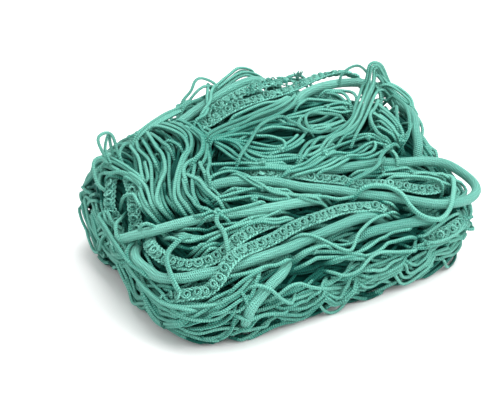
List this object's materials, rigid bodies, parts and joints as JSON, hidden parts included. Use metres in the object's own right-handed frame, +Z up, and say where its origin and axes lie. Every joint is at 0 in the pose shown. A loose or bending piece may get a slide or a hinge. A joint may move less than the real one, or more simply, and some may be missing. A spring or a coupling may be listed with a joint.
{
  "type": "trailer net",
  "caption": "Knotted teal cargo net for an open trailer, heaped as it is put away, with an elastic cord along its rim and a chained selvedge.",
  "frame": {"origin": "middle of the flat patch that the heap rests on", "axes": "+X along the heap's long front edge to the right, +Y to its back, +Z up"},
  "size_m": [0.3048, 0.2354, 0.1528],
  "materials": {
    "twine": "braided polypropylene twine, satin",
    "elastic": "smooth braided sheath over rubber, satin",
    "selvedge": "chain-looped twine, satin"
  },
  "bodies": {
    "root": {"net_heap": "twine", "elastic_back_left": "elastic", "elastic_back": "elastic", "elastic_right_loop": "elastic", "elastic_middle": "elastic", "elastic_front": "elastic", "elastic_front_right": "elastic", "elastic_front_low": "elastic", "band_back": "selvedge", "band_back_upper": "selvedge", "band_right": "selvedge", "band_front": "selvedge", "band_middle": "selvedge", "band_left": "selvedge", "band_left_outer": "selvedge", "band_corner": "selvedge"}
  },
  "joints": []
}
